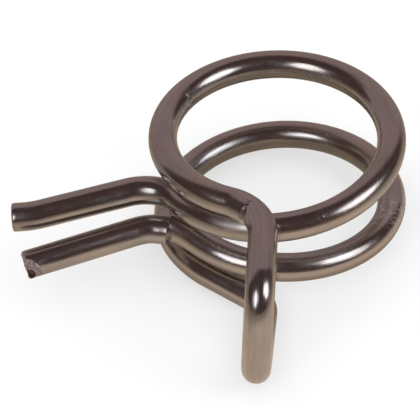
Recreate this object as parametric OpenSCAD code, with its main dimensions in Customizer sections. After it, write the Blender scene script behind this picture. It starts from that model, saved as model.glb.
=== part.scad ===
// Double-wire spring hose clamp bent from one length of round wire.
// Frame: the origin is the middle of the ring, on the plane half way between the two tails.
// Z is the axis of the ring, the hairpin grip points to -Y and the two tails to -X. Sizes are in mm.

/* [Wire] */

// diameter of the round spring wire
wire_d = 2.0; // [1.6:0.05:2.2]

/* [Ring] */

// clear width inside the two coils
ring_inside = 13.95; // [12:0.05:16]
// least space where the end of a coil passes its own start
coil_gap = 0.05; // [0.02:0.01:0.4]
// climb of a coil on the side of the hairpin, in degrees
coil_climb_angle = 1.3; // [0.6:0.1:1.8]
// turn of the upper coil, in degrees
upper_coil_angle = 391; // [380:1:396]
// turn of the lower coil, in degrees
lower_coil_angle = 364; // [358:1:390]

/* [Hairpin grip] */

// centre radius of the two bends of the hairpin
grip_bend = 2.05; // [1.6:0.05:2.6]
// lean of the front towards +X, in degrees
front_lean_angle = 4.5; // [0:0.5:8]
// angle that parts the two legs seen from above, in degrees
leg_part_angle = 2.4; // [0:0.2:6]
// straight run of the upper leg
upper_leg = 3.9; // [3:0.05:8]
// straight run of the lower leg
lower_leg = 4.55; // [3:0.05:8]
// turn from the upper leg into its coil, in degrees
upper_root_angle = 68; // [60:0.5:74]
// turn from the lower leg into its coil, in degrees
lower_root_angle = 56.5; // [50:0.5:70]
// centre radius of the turn from the upper leg
upper_root_bend = 3.7; // [2:0.1:4.6]
// centre radius of the turn from the lower leg
lower_root_bend = 2.0; // [1.6:0.1:4]
// straight run between the upper turn and its coil
upper_root_run = 0.1; // [0.1:0.1:1.6]
// straight run between the lower turn and its coil
lower_root_run = 3.7; // [0.3:0.1:4.5]

/* [Tails] */

// clear space between the two tails, square to the ring
tail_gap = 0.12; // [0.06:0.02:1.2]
// straight run between each coil and the bend of its tail
tail_run = 0.5; // [0.3:0.1:1.4]
// turn of the upper tail away from the ring, in degrees
upper_tail_angle = 73.5; // [66:0.5:80]
// turn of the lower tail away from the ring, in degrees
lower_tail_angle = 64.5; // [58:0.5:78]
// centre radius of the bend of the upper tail
upper_tail_bend = 3.3; // [2:0.05:4]
// centre radius of the bend of the lower tail
lower_tail_bend = 4.2; // [2:0.05:6]
// straight length of the upper tail up to its hooked end
upper_tail = 6.2; // [4:0.05:12]
// straight length of the lower tail
lower_tail = 8.05; // [4:0.05:12]

/* [Tail ends] */

// turn of the upper tail's end back towards the ring, in degrees
hook_angle = 15; // [5:1:25]
// centre radius of that turn
hook_bend = 5; // [3:0.5:8]
// straight end after that turn
hook_run = 0.75; // [0.4:0.05:1.5]
// slope of the sheared facet on the lower tail's end, in degrees
shear_angle = 59; // [20:1:62]
// where the facet starts, as a share of the wire's radius from its middle
shear_share = 0.5; // [0.2:0.05:0.8]
// direction of the facet round the wire from the level, in degrees
shear_side_angle = 10; // [-40:5:60]

/* [Hidden] */

// sides of the wire's outline, and how far a chord may cut inside a bend
wire_sides = 20;
chord_cut = 0.03;
// radius of the ring at the middle of the wire
ring_r = (ring_inside + wire_d) / 2;
// equal bends that make up one coil
coil_bends = 9;
// shares of a coil after which its climb begins to grow and is full
gentle_share = 0.5;
steep_share = 0.75;
// colour of the bare wire in the preview
steel = [0.52, 0.50, 0.47];

// A side holds the sizes of one half: which side of the mid plane it is on, the leg's run, the root's angle,
// bend and run, the coil's angle, the tail's angle, bend and run, and the angle of its hooked end if it has one.
upper = [
    1,
    upper_leg,
    upper_root_angle,
    upper_root_bend,
    upper_root_run,
    upper_coil_angle,
    upper_tail_angle,
    upper_tail_bend,
    upper_tail,
    hook_angle
];
lower = [
    -1,
    lower_leg,
    lower_root_angle,
    lower_root_bend,
    lower_root_run,
    lower_coil_angle,
    lower_tail_angle,
    lower_tail_bend,
    lower_tail,
    0
];

// unit vector along v
function unit(v) = v / norm(v);

// direction of travel on compass angle a (from +X) and slope s
function heading(a, s) = [cos(s) * cos(a), cos(s) * sin(a), sin(s)];

// angle between two directions
function between(g, h) = atan2(norm(cross(g, h)), g * h);

// towards the centre of the bend from direction g to h
function inward(g, h) = cross(unit(cross(g, h)), g);

// sum of a list of vectors
function sum(v, i = 0) = i == len(v) - 1 ? v[i] : v[i] + sum(v, i + 1);

// share of the full climb at share t of a coil, and its mean over the coil
function ramp(t) = max(0, min(1, (t - gentle_share) / (steep_share - gentle_share)));
ramp_mean = 1 - (gentle_share + steep_share) / 2;

// full climb at which the end of a coil clears its start by coil_gap
function full_climb(side) =
    let (turn = side[5] * PI / 180)
    let (gentle = coil_climb_angle * PI / 180 * turn * (1 - ramp_mean))
    let (overlap = turn - 2 * PI + side[4] / ring_r)
    ((wire_d + coil_gap) / ring_r - gentle) / (turn * ramp_mean - overlap) * 180 / PI;

// climb of a coil at share t of its length
function climb(side, t) = coil_climb_angle + (full_climb(side) - coil_climb_angle) * ramp(t);

// compass angle of a leg, travelling from the grip to the ring
function leg_angle(side) = 90 + side[0] * leg_part_angle / 2;

// compass angle and direction at bend i of a coil, as in the upper half
function coil_angle(side, i) = leg_angle(side) + side[2] - side[5] * i / coil_bends;
function coil_heading(side, i) = heading(coil_angle(side, i), -climb(side, i / coil_bends));

// centre radius of bend i of a coil
function coil_radius(side, i) =
    ring_r * tan(side[5] / coil_bends / 2) / tan(between(coil_heading(side, i - 1), coil_heading(side, i)) / 2);

// a direction of the upper half turned over for the lower half
function on_side(side, v) = [v[0], v[1], side[0] * v[2]];

// direction of the front of the hairpin, from its middle outward
function front_heading(side) = side[0] * [sin(front_lean_angle), 0, cos(front_lean_angle)];

// compass angle of a tail, travelling away from the ring
function tail_angle(side) = coil_angle(side, coil_bends) + side[6];

// directions of one half from the front of the hairpin to the end of the tail
function headings(side) = concat(
    [front_heading(side), on_side(side, heading(leg_angle(side), 0))],
    [for (i = [0 : coil_bends]) on_side(side, coil_heading(side, i))],
    [heading(tail_angle(side), 0)],
    side[9] > 0 ? [heading(tail_angle(side) - side[9], 0)] : []
);

// centre radii of the bends between those directions
function radii(side) = concat(
    [grip_bend, side[3]],
    [for (i = [1 : coil_bends]) coil_radius(side, i)],
    [side[7], hook_bend]
);

// straight runs along those directions, without the front
function runs(side) = concat(
    [0, side[1], side[4]],
    [for (i = [2 : coil_bends]) 0],
    [tail_run, side[8], hook_run]
);

// way from the start to the end of a bend of radius r
function bend_way(g, h, r) = r * tan(between(g, h) / 2) * (g + h);

// starting points of the straight runs of one half, seen from the end of the front
function starts(side) =
    let (hs = headings(side), rs = radii(side), ls = runs(side))
    [for (i = 0, p = [0, 0, 0]; i < len(hs); p = next_start(p, hs, rs, ls, i), i = i + 1) p];

// start of the run after run i, which starts at p
function next_start(p, hs, rs, ls, i) =
    i + 1 < len(hs) ? p + ls[i] * hs[i] + bend_way(hs[i], hs[i + 1], rs[i]) : p;

// height of a tail over the end of the front, away from the mid plane
function tail_level(side) = side[0] * starts(side)[coil_bends + 3][2];

// straight front of the hairpin that leaves tail_gap between the tails
front_run = (wire_d + tail_gap - tail_level(upper) - tail_level(lower)) / cos(front_lean_angle);

// mean centre of the coil bends of one half, seen from the middle of the front
function coil_centre(side) =
    let (hs = headings(side), rs = radii(side), ls = runs(side), ps = starts(side))
    let (cs = [for (i = [2 : coil_bends + 1]) ps[i] + ls[i] * hs[i] + rs[i] * inward(hs[i], hs[i + 1])])
    front_heading(side) * front_run / 2 + sum(cs) / coil_bends;

// middle of the front of the hairpin, seen from the middle of the ring
ring_middle = (coil_centre(upper) + coil_centre(lower)) / 2;
front_middle = [-ring_middle[0], -ring_middle[1], (tail_level(lower) - tail_level(upper)) / 2];

// chords that a bend through angle a at radius r is drawn with
function chords(a, r) = ceil(a / (2 * acos(1 - chord_cut / (r + wire_d / 2))));

// sections of the bend that starts at p, each a point and a direction, from section first on
function bend_sections(p, g, h, r, first) =
    let (a = between(g, h), n = inward(g, h), m = chords(a, r))
    [for (j = [first : m]) let (t = a * j / m) [p + r * (sin(t) * g + (1 - cos(t)) * n), cos(t) * g + sin(t) * n]];

// sections of one half from the end of the front to the end of the tail
function half_sections(side) =
    let (hs = headings(side), rs = radii(side), ls = runs(side), ps = starts(side), last = len(hs) - 1)
    let (o = front_middle + front_heading(side) * front_run / 2)
    concat(
        [
            for (i = [0 : last - 1])
                each bend_sections(o + ps[i] + ls[i] * hs[i], hs[i], hs[i + 1], rs[i], i == 0 || ls[i] > 0 ? 0 : 1)
        ],
        [[o + ps[last] + ls[last] * hs[last], hs[last]]]
    );

// the same sections from the last to the first, travelled the other way
function turned_back(s) = [for (i = [len(s) - 1 : -1 : 0]) [s[i][0], -s[i][1]]];

// a direction square to h, as near to v as can be
function squared(v, h) = unit(v - (v * h) * h);

// one direction square to the wire at each section, carried along without twist
function sides_of(s) = [
    for (i = 0, x = squared([0, 0, 1], s[0][1]); i < len(s); i = i + 1, x = squared(x, s[min(i, len(s) - 1)][1])) x
];

// direction round the lower tail that its sheared facet faces
shear_way =
    let (level = cross([0, 0, 1], heading(tail_angle(lower), 0)))
    cos(shear_side_angle) * level + sin(shear_side_angle) * [0, 0, 1];

// how far the lower end is sheared back at offset v from the middle of the wire
function sheared(v) = max(0, v * shear_way - shear_share * wire_d / 2) * tan(shear_angle);

// points round the wire at each section
function skin(s) =
    let (xs = sides_of(s), r = wire_d / 2)
    [
        for (i = [0 : len(s) - 1])
            for (j = [0 : wire_sides - 1])
                let (t = 360 * j / wire_sides, v = r * (cos(t) * xs[i] + sin(t) * cross(s[i][1], xs[i])))
                    s[i][0] + v - (i == len(s) - 1 ? sheared(v) : 0) * s[i][1]
    ];

// middles of the two ends: the middle of the wire, and the fold where the sheared facet starts
function end_middles(s) = [s[0][0], s[len(s) - 1][0] + shear_share * wire_d / 2 * shear_way];

// triangles between n sections, and from the middles of the two ends to their rims
function skin_faces(n) = concat(
    [
        for (i = [0 : n - 2])
            for (j = [0 : wire_sides - 1])
                let (a = i * wire_sides + j, b = i * wire_sides + (j + 1) % wire_sides)
                    each [[a, a + wire_sides, b + wire_sides], [a, b + wire_sides, b]]
    ],
    [
        for (j = [0 : wire_sides - 1])
            let (k = (j + 1) % wire_sides, last = (n - 1) * wire_sides)
                each [[n * wire_sides, j, k], [n * wire_sides + 1, last + k, last + j]]
    ]
);

// the whole wire from the end of the upper tail to the end of the lower one
module wire() {
    sections = concat(turned_back(half_sections(upper)), half_sections(lower));
    color(steel)
        polyhedron(
            points = concat(skin(sections), end_middles(sections)),
            faces = skin_faces(len(sections)),
            convexity = 6
        );
}

wire();
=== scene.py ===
"""Dressed model of a spring hose clamp that is bent from one round wire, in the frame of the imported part."""

import logging
import math
from collections import Counter
from dataclasses import dataclass, field
from enum import Enum
from typing import Any, Callable, Mapping, Optional, Sequence, Union

import bmesh
import bpy
from mathutils import Matrix, Quaternion, Vector


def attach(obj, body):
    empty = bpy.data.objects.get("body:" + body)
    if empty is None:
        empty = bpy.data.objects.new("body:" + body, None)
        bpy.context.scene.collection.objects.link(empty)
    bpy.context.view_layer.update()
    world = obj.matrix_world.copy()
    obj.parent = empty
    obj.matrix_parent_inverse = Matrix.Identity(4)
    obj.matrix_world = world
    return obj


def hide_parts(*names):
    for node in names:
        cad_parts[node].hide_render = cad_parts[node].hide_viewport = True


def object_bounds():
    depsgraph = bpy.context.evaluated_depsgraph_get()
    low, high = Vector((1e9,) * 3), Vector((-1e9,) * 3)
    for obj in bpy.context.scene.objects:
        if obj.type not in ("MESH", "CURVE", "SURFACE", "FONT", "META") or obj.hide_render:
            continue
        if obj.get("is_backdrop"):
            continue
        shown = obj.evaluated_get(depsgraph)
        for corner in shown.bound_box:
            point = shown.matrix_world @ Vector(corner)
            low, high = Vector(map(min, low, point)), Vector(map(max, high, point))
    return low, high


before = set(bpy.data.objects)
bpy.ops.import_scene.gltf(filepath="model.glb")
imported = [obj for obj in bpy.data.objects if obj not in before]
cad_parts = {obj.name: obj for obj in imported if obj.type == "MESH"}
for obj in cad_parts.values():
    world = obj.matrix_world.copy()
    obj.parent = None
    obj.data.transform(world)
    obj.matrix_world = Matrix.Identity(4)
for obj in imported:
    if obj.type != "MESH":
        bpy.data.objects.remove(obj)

LOG = logging.getLogger("hose_clamp")
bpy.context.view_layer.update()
MM = 0.001
WAY = "wire_way"
TORN = "torn_face"
UP = Vector((0, 0, 1))

Colour = tuple[float, float, float, float]
Stops = Sequence[tuple[float, float]]


class Half(Enum):
    """The two halves of the wire, by the side of the mid plane that they lie on."""

    UPPER = 1
    LOWER = -1


class FoldedBend(Enum):
    """Bends whose inside is folded or nicked, by their place along the wire."""

    UPPER_COIL = 8
    UPPER_ROOT = 11
    LOWER_TAIL = 24


class Break(Enum):
    """State of a face: whole, torn, or torn and sunk, which the steel colours darker as painted shade of the
    hollow.
    """

    WHOLE = 0.0
    TORN = 1.0
    SUNK_WITH_PAINTED_SHADE = 2.0


class Element(Enum):
    """What is selected in edit mode."""

    POINT = "VERT"
    EDGE = "EDGE"
    FACE = "FACE"


class Fade(Enum):
    """How a move fades out around what is moved."""

    SMOOTH = "SMOOTH"
    SHARP = "SHARP"


class Seen(Enum):
    """What a stage piece shows up in."""

    BY_CAMERA = "camera"
    IN_REFLECTIONS = "reflections"


def heading(compass: float, slope: float) -> Vector:
    """Gives a direction of travel.

    Args:
        compass: angle from +X seen from above, in degrees.
        slope: angle above the level, in degrees.

    Returns:
        A unit vector.
    """
    a, s = math.radians(compass), math.radians(slope)
    return Vector((math.cos(s) * math.cos(a), math.cos(s) * math.sin(a), math.sin(s)))


def towards(azimuth: float, elevation: float) -> Vector:
    """Gives the direction of a stage piece seen from the clamp.

    Args:
        azimuth: angle from +Y towards +X, in degrees.
        elevation: angle above the floor, in degrees.

    Returns:
        A unit vector.
    """
    return heading(90 - azimuth, elevation)


def deselect_all() -> None:
    """Leaves edit mode and deselects every object."""
    if bpy.context.mode != "OBJECT":
        bpy.ops.object.mode_set(mode="OBJECT")
    bpy.ops.object.select_all(action="DESELECT")


def pick(obj: bpy.types.Object, kind: Element, test: Callable[[Any], bool]) -> None:
    """Opens a mesh for editing with some of it selected.

    Args:
        obj: the mesh object.
        kind: what is selected.
        test: says whether a point, an edge or a face is selected.
    """
    deselect_all()
    obj.select_set(True)
    bpy.context.view_layer.objects.active = obj
    bpy.ops.object.mode_set(mode="EDIT")
    bpy.ops.mesh.select_mode(type=kind.value)
    bpy.ops.mesh.select_all(action="DESELECT")
    bpy.ops.object.mode_set(mode="OBJECT")
    elements = {
        Element.POINT: obj.data.vertices,
        Element.EDGE: obj.data.edges,
        Element.FACE: obj.data.polygons,
    }
    elements[kind].foreach_set("select", [test(element) for element in elements[kind]])
    bpy.ops.object.mode_set(mode="EDIT")


def close_edit() -> None:
    """Goes back from edit mode to object mode."""
    bpy.ops.object.mode_set(mode="OBJECT")


def face_outward() -> None:
    """Turns all faces of the mesh that is being edited outwards."""
    bpy.ops.mesh.select_all(action="SELECT")
    bpy.ops.mesh.normals_make_consistent(inside=False)


@dataclass(frozen=True)
class Pattern:
    """A cloudy pattern: clouds per mm along and across the wire, finer layers, and its cut levels."""

    along: float
    across: float
    detail: float
    roughness: float
    low: float = 0.0
    high: float = 1.0


class Socket:
    """A shader value that takes part in Python arithmetic."""

    def __init__(self, graph: "Graph", out: bpy.types.NodeSocket) -> None:
        """Keeps the output that holds the value.

        Args:
            graph: graph that new nodes go into.
            out: output socket of a node.
        """
        self.graph = graph
        self.out = out

    def __add__(self, other: "Number") -> "Socket":
        """Adds a value."""
        return self.graph.math("ADD", self, other)

    def __radd__(self, other: "Number") -> "Socket":
        """Adds to a value."""
        return self.graph.math("ADD", other, self)

    def __sub__(self, other: "Number") -> "Socket":
        """Takes a value away."""
        return self.graph.math("SUBTRACT", self, other)

    def __rsub__(self, other: "Number") -> "Socket":
        """Takes this away from a value."""
        return self.graph.math("SUBTRACT", other, self)

    def __mul__(self, other: "Number") -> "Socket":
        """Multiplies by a value."""
        return self.graph.math("MULTIPLY", self, other)

    def __rmul__(self, other: "Number") -> "Socket":
        """Multiplies a value."""
        return self.graph.math("MULTIPLY", other, self)


Number = Union[float, Socket]


class Graph:
    """The node tree of one material, written as Python expressions."""

    def __init__(self, tree: bpy.types.NodeTree) -> None:
        """Empties the tree.

        Args:
            tree: node tree of a material or a world.
        """
        self.tree = tree
        self.tree.nodes.clear()

    @classmethod
    def of_material(cls, name: str) -> tuple[bpy.types.Material, "Graph"]:
        """Makes a material with an empty graph.

        Args:
            name: name of the material.

        Returns:
            The material and its graph.
        """
        made = bpy.data.materials.new(name)
        made.use_nodes = True
        return made, cls(made.node_tree)

    def add(
        self,
        kind: str,
        settings: Optional[Mapping[str, Any]] = None,
        sockets: Optional[Mapping[Union[str, int], Any]] = None,
    ) -> bpy.types.Node:
        """Adds a node of any type.

        Args:
            kind: type of the node.
            settings: its own settings, set first; "stops" holds the stops of a ramp.
            sockets: values or links of its input sockets.

        Returns:
            The new node.
        """
        node = self.tree.nodes.new(kind)
        for name, value in (settings or {}).items():
            if name == "stops":
                self._set_stops(node, value)
            else:
                setattr(node, name, value)
        for name, value in (sockets or {}).items():
            if isinstance(value, Socket):
                self.tree.links.new(value.out, node.inputs[name])
            else:
                node.inputs[name].default_value = value
        return node

    @staticmethod
    def _set_stops(node: bpy.types.Node, stops: Stops) -> None:
        """Sets the stops of a ramp.

        Args:
            node: a colour ramp.
            stops: place and brightness of each stop.
        """
        elements = node.color_ramp.elements
        while len(elements) < len(stops):
            elements.new(1.0)
        for element, (place, level) in zip(elements, stops):
            element.position = place
            element.color = (level, level, level, 1.0)

    def math(self, operation: str, *values: Number) -> Socket:
        """Adds a Math node.

        Args:
            operation: what the node works out.
            values: its inputs, in order.

        Returns:
            The result.
        """
        node = self.add("ShaderNodeMath", {"operation": operation}, dict(enumerate(values)))
        return Socket(self, node.outputs[0])

    def attribute(self, name: str, output: str) -> Socket:
        """Reads an attribute of the mesh.

        Args:
            name: name of the attribute.
            output: "Vector" or "Fac".

        Returns:
            Its value.
        """
        return Socket(self, self.add("ShaderNodeAttribute", {"attribute_name": name}).outputs[output])

    def place(self) -> Socket:
        """Reads the place of a point in the piece."""
        return Socket(self, self.add("ShaderNodeTexCoord").outputs["Object"])

    def away(self, point: Vector) -> Socket:
        """Works out how far a place in the piece is from a point."""
        node = self.add("ShaderNodeVectorMath", {"operation": "DISTANCE"}, {0: self.place(), 1: point})
        return Socket(self, node.outputs["Value"])

    def noise(self, vector: Socket, pattern: Pattern, unit: float = 1.0) -> Socket:
        """Adds a cloudy pattern.

        Args:
            vector: where the pattern is read.
            pattern: the pattern.
            unit: length of a mm in the vector's own unit.

        Returns:
            A value from 0 to 1.
        """
        stretch = Vector((pattern.along, pattern.across, pattern.across)) / unit
        spot = self.add("ShaderNodeVectorMath", {"operation": "MULTIPLY"}, {0: vector, 1: stretch})
        sockets = {
            "Vector": Socket(self, spot.outputs[0]),
            "Scale": 1.0,
            "Detail": pattern.detail,
            "Roughness": pattern.roughness,
        }
        return Socket(self, self.add("ShaderNodeTexNoise", None, sockets).outputs[0])

    def cut(self, value: Socket, pattern: Pattern) -> Socket:
        """Sharpens a pattern between the levels that it is cut at."""
        return self.ramp(value, ((pattern.low, 0.0), (pattern.high, 1.0)))

    def ramp(self, value: Socket, stops: Stops) -> Socket:
        """Maps a value through a ramp.

        Args:
            value: the value to map.
            stops: place and brightness of each stop.

        Returns:
            The mapped value.
        """
        return Socket(self, self.add("ShaderNodeValToRGB", {"stops": stops}, {0: value}).outputs[0])

    def blend(self, share: Number, first: Any, second: Any) -> Socket:
        """Blends two colours.

        Args:
            share: 0 for the first colour, 1 for the second.
            first: a colour or a link.
            second: a colour or a link.

        Returns:
            The blended colour.
        """
        sockets = {"Factor": share, 6: first, 7: second}
        return Socket(self, self.add("ShaderNodeMix", {"data_type": "RGBA"}, sockets).outputs[2])

    def bump(self, height: Socket, distance: float, under: Optional[Socket] = None) -> Socket:
        """Adds a fine relief.

        Args:
            height: height of the relief.
            distance: depth of a height of 1.
            under: relief that this one lies on.

        Returns:
            The normal.
        """
        sockets = {"Strength": 1.0, "Distance": distance, "Height": height}
        if under is not None:
            sockets["Normal"] = under
        return Socket(self, self.add("ShaderNodeBump", None, sockets).outputs[0])

    def surface(self, kind: str, sockets: Mapping[str, Any]) -> None:
        """Adds the shader of a material and its output.

        Args:
            kind: type of the shader.
            sockets: values or links of its input sockets.
        """
        shader = self.add(kind, None, sockets)
        self.add("ShaderNodeOutputMaterial", None, {"Surface": Socket(self, shader.outputs[0])})


@dataclass(frozen=True)
class Patch:
    """A worn patch of the surface, by its place and reach."""

    place: Vector
    reach: float


@dataclass(frozen=True)
class DrawnSteel:
    """Bright drawn steel with lengthwise die lines, handling scratches and a dull torn end, whose sunk hollow
    has painted shade in its colour.
    """

    name: str = "drawn_steel"
    warm: Colour = (0.60, 0.535, 0.49, 1.0)
    cool: Colour = (0.53, 0.52, 0.54, 1.0)
    dark: Colour = (0.36, 0.33, 0.30, 1.0)
    torn: Colour = (0.72, 0.65, 0.7, 1.0)
    # painted shade: the dark brown of the torn faces sunk into the hollow of the broken end stands in for the
    # shade that falls there
    sunk: Colour = (0.42, 0.3, 0.22, 1.0)
    scratched: Colour = (0.8, 0.79, 0.84, 1.0)
    lines: Pattern = Pattern(0.05, 9.0, 3.0, 0.6, 0.4, 0.66)
    threads: Pattern = Pattern(0.12, 26.0, 1.0, 0.5, 0.62, 0.75)
    clouds: Pattern = Pattern(0.35, 1.1, 4.0, 0.6, 0.42, 0.68)
    blots: Pattern = Pattern(0.9, 2.6, 4.0, 0.65, 0.38, 0.72)
    tints: Pattern = Pattern(0.3, 0.7, 3.0, 0.6, 0.35, 0.65)
    grain: Pattern = Pattern(7.0, 7.0, 4.0, 0.6)
    specks: Pattern = Pattern(4.5, 4.5, 4.0, 0.7, 0.5, 0.56)
    line_shade: float = 0.4
    thread_shade: float = 0.3
    cloud_shade: float = 0.25
    smooth: float = 0.13
    cloud_roughness: float = 0.09
    blot_roughness: float = 0.09
    line_roughness: float = 0.05
    scuff_roughness: float = 0.2
    blur_roughness: float = 0.13
    torn_roughness: float = 0.36
    line_depth: float = 0.008 * MM
    thread_height: float = 0.4
    grain_depth: float = 0.12 * MM
    patch_core: float = 0.375
    scuffs: tuple[Patch, ...] = (
        Patch(Vector((7.9, -1.9, -1.85)) * MM, 2.3 * MM),
        Patch(Vector((3.5, -7.97, 2.93)) * MM, 0.45 * MM),
    )
    blurs: tuple[Patch, ...] = (
        Patch(Vector((-3.3, -8.0, 2.2)) * MM, 1.5 * MM),
        Patch(Vector((-2.0, -8.6, 2.2)) * MM, 1.5 * MM),
    )

    def material(self) -> bpy.types.Material:
        """Makes the material.

        Returns:
            A material that reads the wire's own way and its torn faces.
        """
        made, g = Graph.of_material(self.name)
        way = g.attribute(WAY, "Vector")
        state = g.attribute(TORN, "Fac")
        torn = g.math("MINIMUM", state, Break.TORN.value)
        # mask of the sunk torn faces, which get the painted shade colour
        sunk = g.math("MAXIMUM", state - Break.TORN.value, 0.0)
        lines = g.noise(way, self.lines)
        threads = g.noise(way, self.threads)
        rubbed = g.cut(g.noise(way, self.clouds), self.clouds)
        hazed = g.cut(g.noise(way, self.blots), self.blots)
        tinted = g.cut(g.noise(way, self.tints), self.tints)
        scuffed = self._near(g, self.scuffs) * g.cut(g.noise(g.place(), self.specks, MM), self.specks)
        scored = self.thread_shade * g.cut(threads, self.threads)
        streaked = self.line_shade * g.cut(lines, self.lines)
        shade = scored + self.cloud_shade * rubbed + streaked
        tone = g.blend(shade, g.blend(tinted, self.warm, self.cool), self.dark)
        tone = g.blend(scuffed, tone, self.scratched)
        worn = self.smooth + self.cloud_roughness * rubbed + self.blot_roughness * hazed
        worn = worn + self.line_roughness * lines + self.scuff_roughness * scuffed
        worn = worn + self.blur_roughness * self._near(g, self.blurs)
        drawn = g.bump((1 - torn) * (lines + self.thread_height * threads), self.line_depth)
        sockets = {
            "Metallic": 1.0,
            # torn faces get the torn colour, and sunk ones the darker painted shade of the hollow
            "Base Color": g.blend(torn, tone, g.blend(sunk, self.torn, self.sunk)),
            "Roughness": worn + torn * (self.torn_roughness - worn),
            "Normal": g.bump(torn * g.noise(way, self.grain), self.grain_depth, drawn),
        }
        g.surface("ShaderNodeBsdfPrincipled", sockets)
        return made

    def _near(self, g: Graph, patches: Sequence[Patch]) -> Socket:
        """Adds a soft-edged mask of some patches.

        Args:
            g: graph of the material.
            patches: the patches.

        Returns:
            1 in the middle of a patch, 0 outside.
        """
        total: Number = 0.0
        for patch in patches:
            share = g.away(patch.place) * (1 / patch.reach)
            total = total + g.ramp(share, ((self.patch_core, 1.0), (1.0, 0.0)))
        return total


@dataclass(frozen=True)
class HalfSizes:
    """Sizes of one half of the wire, in mm and degrees."""

    half: Half
    leg: float
    root_angle: float
    root_bend: float
    root_run: float
    coil_angle: float
    tail_angle: float
    tail_bend: float
    tail: float
    hook_angle: float


UPPER_SIZES = HalfSizes(
    half=Half.UPPER,
    leg=3.9,
    root_angle=68.0,
    root_bend=3.7,
    root_run=0.1,
    coil_angle=391.0,
    tail_angle=73.5,
    tail_bend=3.3,
    tail=6.2,
    hook_angle=15.0,
)
LOWER_SIZES = HalfSizes(
    half=Half.LOWER,
    leg=4.55,
    root_angle=56.5,
    root_bend=2.0,
    root_run=3.7,
    coil_angle=364.0,
    tail_angle=64.5,
    tail_bend=4.2,
    tail=8.05,
    hook_angle=0.0,
)


@dataclass(frozen=True)
class Stretch:
    """A straight run of the wire, and the radius of the bend that follows it."""

    way: Vector
    run: float
    bend: float


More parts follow.
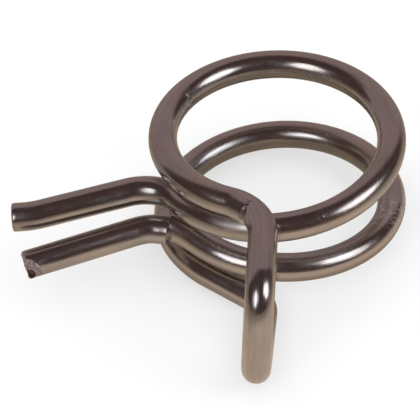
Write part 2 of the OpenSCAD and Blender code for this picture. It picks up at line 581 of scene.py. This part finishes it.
@dataclass(frozen=True)
class WireRoute:
    """The run of the wire: two coils, a hairpin grip and two tails. Sizes are in mm and degrees."""

    wire_d: float = 2.0
    ring_inside: float = 13.95
    coil_gap: float = 0.05
    coil_climb: float = 1.3
    grip_bend: float = 2.05
    front_lean: float = 4.5
    leg_part: float = 2.4
    tail_gap: float = 0.12
    tail_run: float = 0.5
    upper: HalfSizes = UPPER_SIZES
    lower: HalfSizes = LOWER_SIZES
    hook_bend: float = 5.0
    hook_run: float = 0.75
    coil_bends: int = 9
    gentle_share: float = 0.5
    steep_share: float = 0.75

    @property
    def ring_r(self) -> float:
        """Radius of the ring at the middle of the wire."""
        return (self.ring_inside + self.wire_d) / 2

    def ramp(self, share: float) -> float:
        """Share of the full climb at a share of a coil."""
        return max(0.0, min(1.0, (share - self.gentle_share) / (self.steep_share - self.gentle_share)))

    def full_climb(self, size: HalfSizes) -> float:
        """Works out the climb at which the end of a coil clears its start.

        Args:
            size: sizes of that half.

        Returns:
            The climb in degrees.
        """
        mean = 1 - (self.gentle_share + self.steep_share) / 2
        turn = math.radians(size.coil_angle)
        gentle = math.radians(self.coil_climb) * turn * (1 - mean)
        overlap = turn - 2 * math.pi + size.root_run / self.ring_r
        rise = (self.wire_d + self.coil_gap) / self.ring_r - gentle
        return math.degrees(rise / (turn * mean - overlap))

    def leg_angle(self, size: HalfSizes) -> float:
        """Compass angle of a leg, travelling from the grip to the ring."""
        return 90 + size.half.value * self.leg_part / 2

    def coil_angle(self, size: HalfSizes, bend: int) -> float:
        """Compass angle of a coil after a number of its bends."""
        return self.leg_angle(size) + size.root_angle - size.coil_angle * bend / self.coil_bends

    def coil_heading(self, size: HalfSizes, bend: int) -> Vector:
        """Direction of a coil after a number of its bends, as in the upper half."""
        extra = self.full_climb(size) - self.coil_climb
        return heading(
            self.coil_angle(size, bend),
            -self.coil_climb - extra * self.ramp(bend / self.coil_bends),
        )

    def coil_radius(self, size: HalfSizes, bend: int) -> float:
        """Centre radius of one bend of a coil."""
        turn = self.coil_heading(size, bend - 1).angle(self.coil_heading(size, bend))
        level_turn = math.radians(size.coil_angle / self.coil_bends)
        return self.ring_r * math.tan(level_turn / 2) / math.tan(turn / 2)

    def front_heading(self, size: HalfSizes) -> Vector:
        """Direction of the front of the hairpin, from its middle outward."""
        lean = math.radians(self.front_lean)
        return size.half.value * Vector((math.sin(lean), 0, math.cos(lean)))

    def stretches(self, size: HalfSizes) -> list[Stretch]:
        """Lists the runs and bends of one half.

        Args:
            size: sizes of that half.

        Returns:
            Stretches from the front of the hairpin, whose own run is left at 0, to the tail.
        """
        flip = Vector((1, 1, size.half.value))
        last = self.coil_bends
        made = [
            Stretch(self.front_heading(size), 0.0, self.grip_bend),
            Stretch(heading(self.leg_angle(size), 0), size.leg, size.root_bend),
        ]
        for bend in range(last + 1):
            run = size.root_run if bend == 0 else self.tail_run if bend == last else 0.0
            radius = size.tail_bend if bend == last else self.coil_radius(size, bend + 1)
            made.append(Stretch(self.coil_heading(size, bend) * flip, run, radius))
        tail_angle = self.coil_angle(size, last) + size.tail_angle
        made.append(Stretch(heading(tail_angle, 0), size.tail, self.hook_bend))
        if size.hook_angle:
            made.append(Stretch(heading(tail_angle - size.hook_angle, 0), self.hook_run, 0.0))
        return made

    @staticmethod
    def bend_way(first: Stretch, second: Stretch) -> Vector:
        """Way from the start to the end of the bend between two stretches."""
        return first.bend * math.tan(first.way.angle(second.way) / 2) * (first.way + second.way)

    def starts(self, size: HalfSizes) -> list[Vector]:
        """Starting points of the stretches of one half, seen from the end of the front."""
        made = self.stretches(size)
        points = [Vector()]
        for first, second in zip(made, made[1:]):
            points.append(points[-1] + first.way * first.run + self.bend_way(first, second))
        return points

    def tail_level(self, size: HalfSizes) -> float:
        """Height of a tail over the end of the front, away from the mid plane."""
        return size.half.value * self.starts(size)[-1].z

    def front_run(self) -> float:
        """Straight front of the hairpin that leaves the gap between the tails."""
        levels = self.tail_level(self.upper) + self.tail_level(self.lower)
        return (self.wire_d + self.tail_gap - levels) / math.cos(math.radians(self.front_lean))

    def coil_centre(self, size: HalfSizes) -> Vector:
        """Works out the mean centre of the bends of one coil.

        Args:
            size: sizes of that half.

        Returns:
            The centre, seen from the middle of the front.
        """
        made, points = self.stretches(size), self.starts(size)
        total = Vector()
        for i in range(2, self.coil_bends + 2):
            inward = made[i].way.cross(made[i + 1].way).normalized().cross(made[i].way)
            total += points[i] + made[i].way * made[i].run + made[i].bend * inward
        return self.front_heading(size) * self.front_run() / 2 + total / self.coil_bends

    def front_middle(self) -> Vector:
        """Middle of the front of the hairpin, seen from the middle of the ring."""
        ring = (self.coil_centre(self.upper) + self.coil_centre(self.lower)) / 2
        rise = (self.tail_level(self.lower) - self.tail_level(self.upper)) / 2
        return Vector((-ring.x, -ring.y, rise))

    def tail_way(self, size: HalfSizes) -> Vector:
        """Direction of a tail at its end, outwards."""
        return self.stretches(size)[-1].way

    def tail_end(self, size: HalfSizes) -> Vector:
        """Middle of the end face of a tail."""
        tail = self.stretches(size)[-1]
        front = self.front_middle() + self.front_heading(size) * self.front_run() / 2
        return front + self.starts(size)[-1] + tail.way * tail.run

    def whole(self) -> list[Stretch]:
        """Lists the whole wire.

        Returns:
            Stretches from the end of the upper tail to the end of the lower tail.
        """
        up, down = self.stretches(self.upper), self.stretches(self.lower)
        back = [Stretch(-up[i].way, up[i].run, up[i - 1].bend) for i in range(len(up) - 1, 0, -1)]
        return back + [Stretch(down[0].way, self.front_run(), down[0].bend)] + down[1:]


@dataclass(frozen=True)
class DrawnBend:
    """A bend as drawn: where it starts along the wire, its first direction, centre, axis, radius and turn."""

    mark: float
    way: Vector
    centre: Vector
    axis: Vector
    radius: float
    turn: float

    def inward(self, share: float) -> Vector:
        """Direction from the wire to the centre of the bend, at a share of the bend."""
        return self.axis.cross(Quaternion(self.axis, self.turn * share) @ self.way)

    def middle(self, share: float) -> Vector:
        """Middle of the wire at a share of the bend."""
        return self.centre - self.inward(share) * self.radius

    def reach(self, share: float) -> float:
        """Length along the wire at a share of the bend."""
        return self.mark + self.turn * share * self.radius


@dataclass(frozen=True)
class Fold:
    """A nick or a stepped fold on the inside of a bend, and the swelling beside it, in mm.

    A step above 0 sinks the wire before the fold under the wire after it, and a step below 0 the other
    way round. The swelling is on the side that isn't sunk.
    """

    bend: FoldedBend
    share: float
    nick: float = 0.0
    nick_spread: float = 0.0
    swell: float = 0.0
    swell_share: float = 0.0
    step: float = 0.0
    step_spread: float = 0.0


@dataclass(frozen=True)
class Press:
    """A band on the inside of a bend that is moved towards the bend's centre, in mm.

    It lies at a share of the bend and starts inside the middle of the wire, by a share of the wire's radius.
    The move fades out over the spread.
    """

    share: float
    push: float
    width: float
    spread: float
    inner: float = 0.5
    fade: Fade = Fade.SMOOTH


@dataclass(frozen=True)
class Facet:
    """A face of the broken end, by a point and a normal: along the wire, to its level side and upwards."""

    point: Vector
    normal: Vector


@dataclass(frozen=True)
class EndFrame:
    """An end of the wire: its middle, direction, two cross directions and length along the wire."""

    middle: Vector
    way: Vector
    first: Vector
    second: Vector
    mark: float


@dataclass(frozen=True)
class BrokenEnd:
    """The broken end of the lower tail: two torn slopes with a hollow. Sizes are in mm and degrees."""

    middle: Vector
    way: Vector
    wire_r: float
    length: float = 1.6
    shear_angle: float = 59.0
    shear_share: float = 0.5
    shear_side: float = 10.0
    second: Facet = Facet(Vector((0.0, -0.05, -0.2)), Vector((0.906, -0.268, -0.327)))
    merge: float = 0.0001
    most_corners: int = 8
    splits: int = 5
    edge: float = 0.15
    relief: float = 0.09
    relief_seed: int = 4
    rim_relief: float = 0.05
    rim_seed: int = 9
    evenness: float = 0.3
    hollow: Vector = Vector((-0.14, 0.6, -0.35))
    hollow_reach: float = 0.36
    hollow_depth: float = 0.25

    def shape(self, obj: bpy.types.Object) -> None:
        """Breaks the end of the drawn wire.

        Args:
            obj: the drawn wire, with its rims rounded.
        """
        self._shear(obj)
        self._mark_torn(obj)
        for _ in range(self.splits):
            self._split(obj)
        self._sink(obj)
        self._tear(obj)
        self._trim(obj)

    def _turn(self) -> Matrix:
        """Turns directions along the tail, to its level side and upwards into the frame's own."""
        return Matrix((self.way, UP.cross(self.way), UP)).transposed()

    def _slope(self) -> Facet:
        """Works out the main sloping face, which the solid has as well.

        Returns:
            The face.
        """
        lean, turn = math.radians(self.shear_angle), math.radians(self.shear_side)
        sideways = Vector((0.0, math.cos(turn), math.sin(turn)))
        normal = Vector((math.cos(lean), 0.0, 0.0)) + sideways * math.sin(lean)
        return Facet(sideways * self.shear_share * self.wire_r, normal)

    def _is_near(self, place: Vector) -> bool:
        """Says whether a place, in metres, is on the broken end."""
        return (place / MM - self.middle).length < self.length

    def _shear(self, obj: bpy.types.Object) -> None:
        """Cuts the two sloping faces.

        Args:
            obj: the drawn wire.
        """
        turned = self._turn()
        for facet in (self._slope(), self.second):
            pick(obj, Element.FACE, lambda face: self._is_near(face.center))
            bpy.ops.mesh.bisect(
                plane_co=(self.middle + turned @ facet.point) * MM,
                plane_no=turned @ facet.normal,
                use_fill=True,
                clear_outer=True,
                threshold=self.merge * MM,
            )
            close_edit()

    def _mark_torn(self, obj: bpy.types.Object) -> None:
        """Marks the cut faces, which have more corners than any other face of the end.

        Args:
            obj: the drawn wire, with its end cut.
        """
        for face, state in zip(obj.data.polygons, obj.data.attributes[TORN].data):
            if len(face.vertices) > self.most_corners and self._is_near(face.center):
                state.value = Break.TORN.value

    @staticmethod
    def _torn(obj: bpy.types.Object) -> list[bool]:
        """Says which faces are torn."""
        return [state.value >= Break.TORN.value for state in obj.data.attributes[TORN].data]

    def _points(self, obj: bpy.types.Object) -> tuple[set[int], set[int]]:
        """Finds the points of the torn faces.

        Args:
            obj: the drawn wire, with its torn faces marked.

        Returns:
            The points on the rim, which whole faces share, and the points inside it.
        """
        torn_points: set[int] = set()
        whole_points: set[int] = set()
        for face, torn in zip(obj.data.polygons, self._torn(obj)):
            (torn_points if torn else whole_points).update(face.vertices)
        return torn_points & whole_points, torn_points - whole_points

    def _triangulate(self, obj: bpy.types.Object) -> None:
        """Opens the wire for editing and makes its torn faces triangles."""
        torn = self._torn(obj)
        pick(obj, Element.FACE, lambda face: torn[face.index])
        bpy.ops.mesh.quads_convert_to_tris(quad_method="BEAUTY", ngon_method="BEAUTY")

    def _split(self, obj: bpy.types.Object) -> None:
        """Splits the long edges of the torn faces once.

        Args:
            obj: the drawn wire, with its torn faces marked.
        """
        self._triangulate(obj)
        bpy.ops.mesh.beautify_fill()
        close_edit()
        keys = {
            key for face, torn in zip(obj.data.polygons, self._torn(obj)) if torn for key in face.edge_keys
        }
        points = obj.data.vertices
        longest = self.edge * MM
        long = {key for key in keys if (points[key[0]].co - points[key[1]].co).length > longest}
        pick(obj, Element.EDGE, lambda edge: edge.key in long)
        bpy.ops.mesh.subdivide(number_cuts=1)
        close_edit()
        self._triangulate(obj)
        close_edit()

    def _sink(self, obj: bpy.types.Object) -> None:
        """Sinks the part of the torn faces where the wire broke off last, and marks those faces for the
        painted shade of the hollow.

        Args:
            obj: the drawn wire, with its torn faces split up.
        """
        turned = self._turn()
        place = self.middle + turned @ self.hollow
        push = -self.hollow_depth * (turned @ self._slope().normal)
        inner = self._points(obj)[1]
        picks = [
            point.index in inner and (point.co / MM - place).length < self.hollow_reach
            for point in obj.data.vertices
        ]
        # marks the sunk faces, which the steel colours with painted shade
        states = obj.data.attributes[TORN].data
        for face, torn in zip(obj.data.polygons, self._torn(obj)):
            if torn and any(picks[index] for index in face.vertices):
                states[face.index].value = Break.SUNK_WITH_PAINTED_SHADE.value
        pick(obj, Element.POINT, lambda point: picks[point.index])
        bpy.ops.transform.translate(value=push * MM)
        close_edit()

    def _tear(self, obj: bpy.types.Object) -> None:
        """Roughens the torn faces and their rim.

        Args:
            obj: the drawn wire, with its torn faces split up.
        """
        rim, inner = self._points(obj)
        moves = ((inner, self.relief, self.relief_seed), (rim, self.rim_relief, self.rim_seed))
        for chosen, relief, seed in moves:
            pick(obj, Element.POINT, lambda point: point.index in chosen)
            bpy.ops.transform.vertex_random(
                offset=relief * MM, uniform=self.evenness, normal=0.0, seed=seed
            )
            face_outward()
            close_edit()

    @staticmethod
    def _trim(obj: bpy.types.Object) -> None:
        """Deletes the slivers that splitting left hanging by one edge.

        Args:
            obj: the drawn wire, with its torn faces split up.
        """
        shared = Counter(key for face in obj.data.polygons for key in face.edge_keys)
        pick(obj, Element.FACE, lambda face: any(shared[key] == 1 for key in face.edge_keys))
        bpy.ops.mesh.delete(type="FACE")
        close_edit()


@dataclass
class SpringWire:
    """The whole clamp, drawn as one wire along its route, in mm and degrees."""

    route: WireRoute = WireRoute()
    folds: tuple[Fold, ...] = (
        Fold(FoldedBend.UPPER_COIL, 0.8108, nick=0.06, nick_spread=0.12),
        Fold(FoldedBend.UPPER_ROOT, 0.41, swell=0.11, swell_share=0.25, step=-0.22, step_spread=0.8),
        Fold(FoldedBend.LOWER_TAIL, 0.47, swell=0.1, swell_share=0.53, step=0.34, step_spread=1.8),
    )
    nick_width: float = 0.06
    swell_width: float = 0.5
    swell_spread: float = 0.9
    step_width: float = 0.2
    step_inner: float = -0.1
    rim_round: float = 0.17
    rim_steps: int = 4
    rim_profile: float = 0.5
    sides: int = 64
    bend_step: float = 3.6
    fold_step: float = 1.2
    run_step: float = 0.6
    sharp_angle: float = 40.0
    marks: list[float] = field(default_factory=list)
    bends: list[DrawnBend] = field(default_factory=list)

    @property
    def wire_r(self) -> float:
        """Radius of the wire."""
        return self.route.wire_d / 2

    def build(self) -> bpy.types.Object:
        """Draws the wire along its route and shapes its ends.

        Returns:
            The finished mesh object, at the origin.
        """
        obj = self._draw()
        self._mark_way(obj)
        for fold in self.folds:
            self._fold(obj, fold)
        frames = self._end_frames(obj)
        self._round_rims(obj)
        lower = self.route.lower
        end = BrokenEnd(self.route.tail_end(lower), self.route.tail_way(lower), self.wire_r)
        end.shape(obj)
        self._mark_ends(obj, frames, end.length)
        bpy.ops.object.shade_smooth_by_angle(angle=math.radians(self.sharp_angle))
        return obj

    def _draw(self) -> bpy.types.Object:
        """Draws the plain wire from end to end.

        Returns:
            The wire, with its points ring by ring.
        """
        stretches = self.route.whole()
        here = self.route.tail_end(self.route.upper)
        obj = self._start_disc(here, stretches[0].way)
        bpy.ops.object.mode_set(mode="EDIT")
        bpy.ops.mesh.select_all(action="SELECT")
        self.marks = [0.0]
        for first, second in zip(stretches, stretches[1:]):
            here = self._draw_run(here, first)
            here = self._draw_bend(here, first, second)
        self._draw_run(here, stretches[-1])
        face_outward()
        close_edit()
        self._put_in_order(obj)
        return obj

    @staticmethod
    def _put_in_order(obj: bpy.types.Object) -> None:
        """Lists edges and faces by their points, because drawing leaves them in another order on each run.

        Args:
            obj: the drawn wire.
        """
        work = bmesh.new()
        work.from_mesh(obj.data)
        work.verts.index_update()
        count = len(work.verts)

        def rank(element: Union[bmesh.types.BMEdge, bmesh.types.BMFace]) -> int:
            """Ranks an edge or a face by its first and last point."""
            indices = [point.index for point in element.verts]
            return min(indices) * count + max(indices)

        work.edges.sort(key=rank)
        work.faces.sort(key=rank)
        work.to_mesh(obj.data)
        work.free()

    def _start_disc(self, place: Vector, way: Vector) -> bpy.types.Object:
        """Adds the disc that the wire is drawn from.

        Args:
            place: middle of the disc, in mm.
            way: direction that the wire sets off in.

        Returns:
            The disc's object, with its place in its mesh.
        """
        deselect_all()
        bpy.ops.mesh.primitive_circle_add(
            vertices=self.sides,
            radius=self.wire_r * MM,
            fill_type="NGON",
            location=place * MM,
            rotation=way.to_track_quat("Z", "Y").to_euler(),
        )
        obj = bpy.context.object
        obj.name = obj.data.name = "bent_wire"
        bpy.ops.object.transform_apply(location=True, rotation=True, scale=True)
        return obj

    def _draw_run(self, here: Vector, stretch: Stretch) -> Vector:
        """Draws a straight run on from the selected disc.

        Args:
            here: where the run starts, in mm.
            stretch: the run.

        Returns:
            Where the run ends.
        """
        steps = math.ceil(stretch.run / self.run_step)
        for _ in range(steps):
            step = stretch.way * stretch.run / steps
            bpy.ops.mesh.extrude_region_move(TRANSFORM_OT_translate={"value": step * MM})
            self.marks.append(self.marks[-1] + step.length)
        return here + stretch.way * stretch.run

    def _draw_bend(self, here: Vector, first: Stretch, second: Stretch) -> Vector:
        """Draws a bend on from the selected disc.

        Args:
            here: where the bend starts, in mm.
            first: stretch before the bend.
            second: stretch after the bend.

        Returns:
            Where the bend ends.
        """
        turn = first.way.angle(second.way)
        axis = first.way.cross(second.way).normalized()
        centre = here + first.bend * axis.cross(first.way)
        folded = len(self.bends) in {fold.bend.value for fold in self.folds}
        steps = math.ceil(math.degrees(turn) / (self.fold_step if folded else self.bend_step))
        self.bends.append(DrawnBend(self.marks[-1], first.way, centre, axis, first.bend, turn))
        bpy.ops.mesh.spin(steps=steps, angle=turn, center=centre * MM, axis=-axis)
        for _ in range(steps):
            self.marks.append(self.marks[-1] + first.bend * turn / steps)
        return here + self.route.bend_way(first, second)

    def _mark_way(self, obj: bpy.types.Object) -> None:
        """Stores where each point lies on the straight wire, and that every face is whole.

        Args:
            obj: the drawn wire, whose points come ring by ring.
        """
        flat: list[float] = []
        for mark in self.marks:
            for side in range(self.sides):
                angle = 2 * math.pi * side / self.sides
                flat += [mark, self.wire_r * math.cos(angle), self.wire_r * math.sin(angle)]
        obj.data.attributes.new(WAY, "FLOAT_VECTOR", "POINT").data.foreach_set("vector", flat)
        states = [Break.WHOLE.value] * len(obj.data.polygons)
        obj.data.attributes.new(TORN, "FLOAT", "FACE").data.foreach_set("value", states)

    def _fold(self, obj: bpy.types.Object, fold: Fold) -> None:
        """Presses a fold into the inside of a bend and swells the wire beside it.

        Args:
            obj: the drawn wire.
            fold: the fold.
        """
        bend = self.bends[fold.bend.value]
        reach = bend.reach(fold.share)
        if fold.swell:
            self._hide(obj, reach, -fold.step)
            swelling = Press(fold.swell_share, fold.swell, self.swell_width, self.swell_spread)
            self._press(obj, bend, swelling)
            self._reveal()
        if fold.step:
            self._hide(obj, reach, fold.step)
            depth = -abs(fold.step)
            sunk = Press(fold.share, depth, self.step_width, fold.step_spread, self.step_inner, Fade.SHARP)
            self._press(obj, bend, sunk)
            self._reveal()
        if fold.nick:
            self._press(obj, bend, Press(fold.share, -fold.nick, self.nick_width, fold.nick_spread))

    @staticmethod
    def _along(obj: bpy.types.Object) -> list[float]:
        """Length along the wire of each point, in mm."""
        return [way.vector[0] for way in obj.data.attributes[WAY].data]

    @staticmethod
    def _hide(obj: bpy.types.Object, reach: float, side: float) -> None:
        """Hides the wire on one side of a length, so that the next moves leave it alone.

        Args:
            obj: the drawn wire.
            reach: length along the wire, in mm.
            side: above 0 for the wire after that length, below 0 for the wire before it.
        """
        along = SpringWire._along(obj)
        pick(obj, Element.POINT, lambda point: (along[point.index] - reach) * side > 0)
        bpy.ops.mesh.hide(unselected=False)
        close_edit()

    @staticmethod
    def _reveal() -> None:
        """Shows every hidden part of the wire again."""
        bpy.ops.object.mode_set(mode="EDIT")
        bpy.ops.mesh.reveal(select=False)
        close_edit()

    def _press(self, obj: bpy.types.Object, bend: DrawnBend, press: Press) -> None:
        """Moves a band on the inside of a bend towards its centre or away from it.

        Args:
            obj: the drawn wire.
            bend: the bend.
            press: the band and its move.
        """
        inward, middle = bend.inward(press.share), bend.middle(press.share)
        reach, inside = bend.reach(press.share), self.wire_r * press.inner
        along = self._along(obj)

        def in_band(point: bpy.types.MeshVertex) -> bool:
            """Says whether a point is in the band."""
            near = abs(along[point.index] - reach) < press.width / 2
            return near and (point.co / MM - middle).dot(inward) > inside

        pick(obj, Element.POINT, in_band)
        bpy.ops.transform.translate(
            value=inward * press.push * MM,
            use_proportional_edit=True,
            proportional_edit_falloff=press.fade.value,
            proportional_size=press.spread * MM,
            use_proportional_connected=True,
        )
        close_edit()

    def _round_rims(self, obj: bpy.types.Object) -> None:
        """Rounds the rims of both ends.

        Args:
            obj: the drawn wire.
        """
        pick(obj, Element.FACE, lambda face: len(face.vertices) == self.sides)
        bpy.ops.mesh.region_to_loop()
        bpy.ops.mesh.bevel(
            offset=self.rim_round * MM, segments=self.rim_steps, profile=self.rim_profile, affect="EDGES"
        )
        close_edit()

    def _end_frames(self, obj: bpy.types.Object) -> list[EndFrame]:
        """Notes how each end of the drawn wire is turned.

        Args:
            obj: the drawn wire, before its ends are shaped.

        Returns:
            The upper end and the lower end.
        """
        upper, lower = self.route.upper, self.route.lower
        last = (len(self.marks) - 1) * self.sides
        ends = (
            (upper, -self.route.tail_way(upper), 0, 0.0),
            (lower, self.route.tail_way(lower), last, self.marks[-1]),
        )
        made = []
        for size, way, start, mark in ends:
            middle = self.route.tail_end(size)
            rim = obj.data.vertices[start:start + self.sides]
            first, second = ((rim[i].co / MM - middle).normalized() for i in (0, self.sides // 4))
            made.append(EndFrame(middle, way, first, second, mark))
        return made

    @staticmethod
    def _mark_ends(obj: bpy.types.Object, frames: Sequence[EndFrame], length: float) -> None:
        """Stores where the points of the shaped ends lie on the straight wire.

        Args:
            obj: the wire with its ends shaped.
            frames: how each end is turned.
            length: how far the ends reach, in mm.
        """
        ways = obj.data.attributes[WAY].data
        for end in frames:
            for point in obj.data.vertices:
                offset = point.co / MM - end.middle
                if offset.length < length:
                    across = offset.dot(end.first), offset.dot(end.second)
                    ways[point.index].vector = (end.mark + offset.dot(end.way), *across)

    @staticmethod
    def dress(obj: bpy.types.Object, finish: DrawnSteel) -> None:
        """Gives the wire its finish and its place in the frame.

        Args:
            obj: the drawn wire.
            finish: the steel.
        """
        obj.data.materials.clear()
        obj.data.materials.append(finish.material())
        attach(obj, "root")
        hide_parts("wire")


@dataclass(frozen=True)
class Softbox:
    """A soft lamp, by its direction, its width and height seen from the clamp, and its power in watts."""

    name: str
    azimuth: float
    elevation: float
    wide: float
    high: float
    power: float


@dataclass
class Studio:
    """Floor, table, room, backdrop, lamps and camera. Lengths are in metres and angles in degrees.

    The floor is what the camera sees. The table, the room and the backdrop show up in the steel only.
    """

    lamp_far: float = 0.6
    floor_size: float = 6.0
    floor_colour: Colour = (0.4, 0.4, 0.4, 1.0)
    floor_glow: float = 0.56
    table_drop: float = 0.05 * MM
    table_colour: Colour = (0.84, 0.69, 0.56, 1.0)
    shade_colour: Colour = (0.04, 0.025, 0.0, 1.0)
    table_reach: float = 0.1
    table_bright: Vector = Vector((6.0, -14.0, 0.0)) * MM
    shade_stops: Stops = ((0.05, 0.4), (0.09, 0.5), (0.125, 1.0))
    light_stops: Stops = ((0.12, 0.8), (0.22, 0.6), (0.32, 0.44), (0.5, 0.36), (1.0, 0.33))
    room_colour: Colour = (0.076, 0.046, 0.044, 1.0)
    room_radius: float = 2.5
    board_colour: Colour = (0.334, 0.252, 0.25, 1.0)
    board_azimuth: float = -15.0
    board_far: float = 0.5
    board_size: Vector = Vector((1.7, 1.9, 1.0))
    sky_colour: Colour = (1.0, 1.0, 1.0, 1.0)
    lamp_colour: tuple[float, float, float] = (0.96, 0.985, 1.03)
    lamps: tuple[Softbox, ...] = (
        Softbox("left_softbox", -150.0, 35.5, 29.0, 36.0, 0.7),
        Softbox("right_softbox", 108.0, 35.0, 35.0, 36.0, 0.9),
    )
    eye: Vector = Vector((13.0357, -154.7551, 135.3413)) * MM
    eye_azimuth: float = 173.33938
    eye_elevation: float = 41.75257
    eye_roll: float = -3.95794
    lens: float = 250.4135
    sensor: float = 36.0
    nearest: float = 0.01
    farthest: float = 20.0

    def build(self, floor_level: float) -> None:
        """Sets the stage round the clamp.

        Args:
            floor_level: height of the floor.
        """
        bpy.context.scene.view_settings.view_transform = "Standard"
        self._sky()
        self._plane("floor", floor_level, self._paper(), Seen.BY_CAMERA)
        self._plane("table", floor_level - self.table_drop, self._table_top(), Seen.IN_REFLECTIONS)
        self._room(floor_level)
        self._backdrop()
        for lamp in self.lamps:
            self._softbox(lamp)
        self._camera()

    def _sky(self) -> None:
        """Lights the floor evenly from all round."""
        world = bpy.data.worlds.new("sky")
        world.use_nodes = True
        g = Graph(world.node_tree)
        light = g.add("ShaderNodeBackground", None, {"Color": self.sky_colour, "Strength": 1.0})
        g.add("ShaderNodeOutputWorld", None, {"Surface": Socket(g, light.outputs[0])})
        bpy.context.scene.world = world

    def _paper(self) -> bpy.types.Material:
        """Makes the floor's material, a white paper that is also lit from below.

        Returns:
            The material.
        """
        made, g = Graph.of_material("floor_white")
        sockets = {
            "Base Color": self.floor_colour,
            "Roughness": 1.0,
            "Specular IOR Level": 0.0,
            "Emission Color": self.sky_colour,
            "Emission Strength": self.floor_glow,
        }
        g.surface("ShaderNodeBsdfPrincipled", sockets)
        return made

    def _table_top(self) -> bpy.types.Material:
        """Makes the table's material, brightest beside the clamp and shaded under it.

        Returns:
            The material.
        """
        made, g = Graph.of_material("table_beige")
        shade = g.ramp(g.away(Vector()) * (1 / self.table_reach), self.shade_stops)
        light = g.ramp(g.away(self.table_bright) * (1 / self.table_reach), self.light_stops)
        sockets = {
            "Base Color": g.blend(shade * light, self.shade_colour, self.table_colour),
            "Roughness": 1.0,
            "Specular IOR Level": 0.0,
        }
        g.surface("ShaderNodeBsdfPrincipled", sockets)
        return made

    @staticmethod
    def _glow(name: str, colour: Colour) -> bpy.types.Material:
        """Makes a material of one brightness.

        Args:
            name: name of the material.
            colour: its brightness in each colour.

        Returns:
            The material.
        """
        made, g = Graph.of_material(name)
        g.surface("ShaderNodeEmission", {"Color": colour, "Strength": 1.0})
        return made

    @staticmethod
    def _staged(obj: bpy.types.Object, name: str, material: bpy.types.Material, seen: Seen) -> None:
        """Names a stage piece and says what it shows up in.

        Args:
            obj: the stage piece.
            name: its name.
            material: its material.
            seen: what it shows up in.
        """
        obj.name = obj.data.name = name
        obj.data.materials.append(material)
        obj.visible_camera = seen is Seen.BY_CAMERA
        obj.visible_diffuse = seen is Seen.BY_CAMERA
        obj.visible_shadow = seen is Seen.BY_CAMERA
        obj.visible_glossy = seen is Seen.IN_REFLECTIONS
        obj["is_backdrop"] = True

    def _plane(self, name: str, level: float, material: bpy.types.Material, seen: Seen) -> None:
        """Lays a level plane.

        Args:
            name: its name.
            level: its height.
            material: its material.
            seen: what it shows up in.
        """
        deselect_all()
        bpy.ops.mesh.primitive_plane_add(size=self.floor_size, location=(0, 0, level))
        self._staged(bpy.context.object, name, material, seen)

    def _room(self, floor_level: float) -> None:
        """Puts a dim room round the stage.

        Args:
            floor_level: height of the floor.
        """
        deselect_all()
        bpy.ops.mesh.primitive_uv_sphere_add(radius=self.room_radius, location=(0, 0, floor_level))
        glow = self._glow("room_dim", self.room_colour)
        self._staged(bpy.context.object, "room", glow, Seen.IN_REFLECTIONS)

    def _backdrop(self) -> None:
        """Stands a grey board behind the clamp."""
        deselect_all()
        way = towards(self.board_azimuth, 0)
        turn = way.to_track_quat("Z", "Y").to_euler()
        bpy.ops.mesh.primitive_plane_add(size=1.0, location=way * self.board_far, rotation=turn)
        obj = bpy.context.object
        obj.scale = self.board_size
        self._staged(obj, "backdrop", self._glow("backdrop_grey", self.board_colour), Seen.IN_REFLECTIONS)

    def _softbox(self, lamp: Softbox) -> None:
        """Hangs one soft lamp that faces the clamp.

        Args:
            lamp: the lamp.
        """
        deselect_all()
        way = towards(lamp.azimuth, lamp.elevation)
        turn = way.to_track_quat("Z", "Y").to_euler()
        bpy.ops.object.light_add(type="AREA", location=way * self.lamp_far, rotation=turn)
        obj = bpy.context.object
        obj.name = obj.data.name = lamp.name
        obj.data.shape = "ELLIPSE"
        obj.data.size = 2 * self.lamp_far * math.tan(math.radians(lamp.wide / 2))
        obj.data.size_y = 2 * self.lamp_far * math.tan(math.radians(lamp.high / 2))
        obj.data.energy = lamp.power
        obj.data.color = self.lamp_colour
        obj.visible_camera = False

    def _camera(self) -> None:
        """Sets the camera at the viewing angle of the photograph."""
        deselect_all()
        bpy.ops.object.camera_add()
        obj = bpy.context.object
        back = towards(self.eye_azimuth, self.eye_elevation)
        across = Quaternion(back, math.radians(self.eye_roll)) @ UP.cross(back).normalized()
        turned = Matrix((across, back.cross(across), back)).transposed().to_4x4()
        obj.matrix_world = Matrix.Translation(self.eye) @ turned
        obj.data.lens = self.lens
        obj.data.sensor_width = self.sensor
        obj.data.clip_start = self.nearest
        obj.data.clip_end = self.farthest
        bpy.context.scene.camera = obj


def main() -> None:
    """Builds the clamp and its stage."""
    logging.basicConfig(level=logging.INFO, format="%(name)s: %(message)s")
    wire = SpringWire()
    obj = wire.build()
    LOG.info("%s: %d points, %.1f mm of wire", obj.name, len(obj.data.vertices), wire.marks[-1])
    wire.dress(obj, DrawnSteel())
    LOG.info("%s: dressed in drawn steel", obj.name)
    Studio().build(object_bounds()[0].z)
    LOG.info("stage: floor, table, room, backdrop, lamps and camera")


if __name__ == "__main__":
    main()
